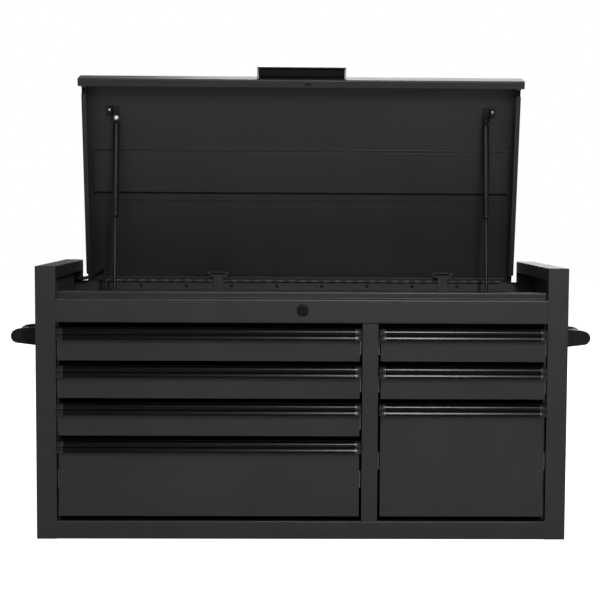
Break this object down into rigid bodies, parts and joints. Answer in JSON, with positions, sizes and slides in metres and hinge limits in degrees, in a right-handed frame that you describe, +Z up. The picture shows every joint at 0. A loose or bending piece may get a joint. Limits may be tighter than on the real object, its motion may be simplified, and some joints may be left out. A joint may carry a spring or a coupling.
{
  "type": "top tool chest",
  "caption": "Steel top tool chest with a hinged lid on gas struts, a till with a power strip, and drawers in two banks on telescoping slides.",
  "frame": {"origin": "centre of the underside of the case, at the middle of the bottom pan", "axes": "+X to the right seen from the front, +Y to the back, +Z up; the drawers open towards -Y"},
  "size_m": [1.185, 0.5108, 0.9537],
  "materials": {
    "case_paint": "satin charcoal powder coat with a fine texture",
    "pull_trim": "semi-gloss black",
    "black_paint": "semi-gloss black",
    "slide_steel": "zinc plated",
    "bright_steel": "bright plated",
    "handle_plastic": "fine grain",
    "strip_plastic": "satin",
    "cord_rubber": "satin"
  },
  "bodies": {
    "case": {"left_side_panel": "case_paint", "right_side_panel": "case_paint", "back_panel": "case_paint", "bottom_pan": "case_paint", "top_rail": "case_paint", "bank_divider": "case_paint", "till_floor": "case_paint", "left_slide_rack": "slide_steel", "right_slide_rack": "slide_steel", "left_side_handle": "handle_plastic", "right_side_handle": "handle_plastic", "hinge_body_leaf": "case_paint", "left_strut_floor_bracket": "black_paint", "right_strut_floor_bracket": "black_paint", "lock_housing": "black_paint", "power_strip": "strip_plastic", "power_cord": "cord_rubber", "cord_coil": "cord_rubber", "power_plug": "strip_plastic"},
    "lid": {"lid": "case_paint", "lid_stiffener": "case_paint", "lid_handle": "pull_trim", "hinge_lid_leaf": "case_paint", "left_strut_lid_bracket": "black_paint", "right_strut_lid_bracket": "black_paint"},
    "left_strut_rod": {"left_strut_rod": "bright_steel"},
    "left_strut_tube": {"left_strut_tube": "black_paint"},
    "right_strut_rod": {"right_strut_rod": "bright_steel"},
    "right_strut_tube": {"right_strut_tube": "black_paint"},
    "key_plug": {"key_plug": "bright_steel"},
    "left_lock_bar": {"left_lock_bar": "black_paint"},
    "right_lock_bar": {"right_lock_bar": "black_paint"},
    "left_drawer_1": {"left_drawer_1": "case_paint", "left_drawer_1_pull": "pull_trim"},
    "left_drawer_1_slides": {"left_drawer_1_slide_left": "slide_steel", "left_drawer_1_slide_right": "slide_steel"},
    "left_drawer_2": {"left_drawer_2": "case_paint", "left_drawer_2_pull": "pull_trim"},
    "left_drawer_2_slides": {"left_drawer_2_slide_left": "slide_steel", "left_drawer_2_slide_right": "slide_steel"},
    "left_drawer_3": {"left_drawer_3": "case_paint", "left_drawer_3_pull": "pull_trim"},
    "left_drawer_3_slides": {"left_drawer_3_slide_left": "slide_steel", "left_drawer_3_slide_right": "slide_steel"},
    "left_drawer_4": {"left_drawer_4": "case_paint", "left_drawer_4_pull": "pull_trim"},
    "left_drawer_4_slides": {"left_drawer_4_slide_left": "slide_steel", "left_drawer_4_slide_right": "slide_steel"},
    "right_drawer_1": {"right_drawer_1": "case_paint", "right_drawer_1_pull": "pull_trim"},
    "right_drawer_1_slides": {"right_drawer_1_slide_left": "slide_steel", "right_drawer_1_slide_right": "slide_steel"},
    "right_drawer_2": {"right_drawer_2": "case_paint", "right_drawer_2_pull": "pull_trim"},
    "right_drawer_2_slides": {"right_drawer_2_slide_left": "slide_steel", "right_drawer_2_slide_right": "slide_steel"},
    "right_drawer_3": {"right_drawer_3": "case_paint", "right_drawer_3_pull": "pull_trim"},
    "right_drawer_3_slides": {"right_drawer_3_slide_left": "slide_steel", "right_drawer_3_slide_right": "slide_steel"}
  },
  "joints": [
    {"name": "lid_hinge", "type": "hinge", "parent": "case", "child": "lid", "pos_m": [0, 0.2223, 0.49], "axis": [1, 0, 0], "range_deg": [0, 78.8]},
    {"name": "left_strut_pivot", "type": "hinge", "parent": "case", "child": "left_strut_rod", "pos_m": [-0.401, 0.1183, 0.452], "axis": [1, 0, 0], "range_deg": [0, 84.62]},
    {"name": "left_strut_stroke", "type": "slide", "parent": "left_strut_rod", "child": "left_strut_tube", "axis": [0, -0.1497, -0.9887], "range_m": [0, 0.13689]},
    {"name": "right_strut_pivot", "type": "hinge", "parent": "case", "child": "right_strut_rod", "pos_m": [0.401, 0.1183, 0.452], "axis": [1, 0, 0], "range_deg": [0, 84.62]},
    {"name": "right_strut_stroke", "type": "slide", "parent": "right_strut_rod", "child": "right_strut_tube", "axis": [0, -0.1497, -0.9887], "range_m": [0, 0.13689]},
    {"name": "key_turn", "type": "hinge", "parent": "case", "child": "key_plug", "pos_m": [0, -0.2285, 0.452], "axis": [0, -1, 0], "range_deg": [0, 72]},
    {"name": "left_lock_bar_drop", "type": "slide", "parent": "case", "child": "left_lock_bar", "axis": [0, 0, -1], "range_m": [0, 0.01005]},
    {"name": "right_lock_bar_drop", "type": "slide", "parent": "case", "child": "right_lock_bar", "axis": [0, 0, -1], "range_m": [0, 0.01005]},
    {"name": "left_drawer_1_run", "type": "slide", "parent": "case", "child": "left_drawer_1", "axis": [0, -1, 0], "range_m": [0, 0.38]},
    {"name": "left_drawer_1_slides_run", "type": "slide", "parent": "case", "child": "left_drawer_1_slides", "axis": [0, -1, 0], "range_m": [0, 0.19]},
    {"name": "left_drawer_2_run", "type": "slide", "parent": "case", "child": "left_drawer_2", "axis": [0, -1, 0], "range_m": [0, 0.38]},
    {"name": "left_drawer_2_slides_run", "type": "slide", "parent": "case", "child": "left_drawer_2_slides", "axis": [0, -1, 0], "range_m": [0, 0.19]},
    {"name": "left_drawer_3_run", "type": "slide", "parent": "case", "child": "left_drawer_3", "axis": [0, -1, 0], "range_m": [0, 0.38]},
    {"name": "left_drawer_3_slides_run", "type": "slide", "parent": "case", "child": "left_drawer_3_slides", "axis": [0, -1, 0], "range_m": [0, 0.19]},
    {"name": "left_drawer_4_run", "type": "slide", "parent": "case", "child": "left_drawer_4", "axis": [0, -1, 0], "range_m": [0, 0.38]},
    {"name": "left_drawer_4_slides_run", "type": "slide", "parent": "case", "child": "left_drawer_4_slides", "axis": [0, -1, 0], "range_m": [0, 0.19]},
    {"name": "right_drawer_1_run", "type": "slide", "parent": "case", "child": "right_drawer_1", "axis": [0, -1, 0], "range_m": [0, 0.38]},
    {"name": "right_drawer_1_slides_run", "type": "slide", "parent": "case", "child": "right_drawer_1_slides", "axis": [0, -1, 0], "range_m": [0, 0.19]},
    {"name": "right_drawer_2_run", "type": "slide", "parent": "case", "child": "right_drawer_2", "axis": [0, -1, 0], "range_m": [0, 0.38]},
    {"name": "right_drawer_2_slides_run", "type": "slide", "parent": "case", "child": "right_drawer_2_slides", "axis": [0, -1, 0], "range_m": [0, 0.19]},
    {"name": "right_drawer_3_run", "type": "slide", "parent": "case", "child": "right_drawer_3", "axis": [0, -1, 0], "range_m": [0, 0.38]},
    {"name": "right_drawer_3_slides_run", "type": "slide", "parent": "case", "child": "right_drawer_3_slides", "axis": [0, -1, 0], "range_m": [0, 0.19]}
  ],
  "couplings": [
    {"joint": "left_strut_pivot", "follows": "lid_hinge", "ratio": 1.0733},
    {"joint": "left_strut_stroke", "follows": "lid_hinge", "m_per_rad": 0.099461},
    {"joint": "right_strut_pivot", "follows": "lid_hinge", "ratio": 1.0733},
    {"joint": "right_strut_stroke", "follows": "lid_hinge", "m_per_rad": 0.099461},
    {"joint": "left_lock_bar_drop", "follows": "lid_hinge", "m_per_rad": 0.007271},
    {"joint": "right_lock_bar_drop", "follows": "lid_hinge", "m_per_rad": 0.007271},
    {"joint": "left_drawer_1_slides_run", "follows": "left_drawer_1_run", "ratio": 0.5},
    {"joint": "left_drawer_2_slides_run", "follows": "left_drawer_2_run", "ratio": 0.5},
    {"joint": "left_drawer_3_slides_run", "follows": "left_drawer_3_run", "ratio": 0.5},
    {"joint": "left_drawer_4_slides_run", "follows": "left_drawer_4_run", "ratio": 0.5},
    {"joint": "right_drawer_1_slides_run", "follows": "right_drawer_1_run", "ratio": 0.5},
    {"joint": "right_drawer_2_slides_run", "follows": "right_drawer_2_run", "ratio": 0.5},
    {"joint": "right_drawer_3_slides_run", "follows": "right_drawer_3_run", "ratio": 0.5}
  ]
}
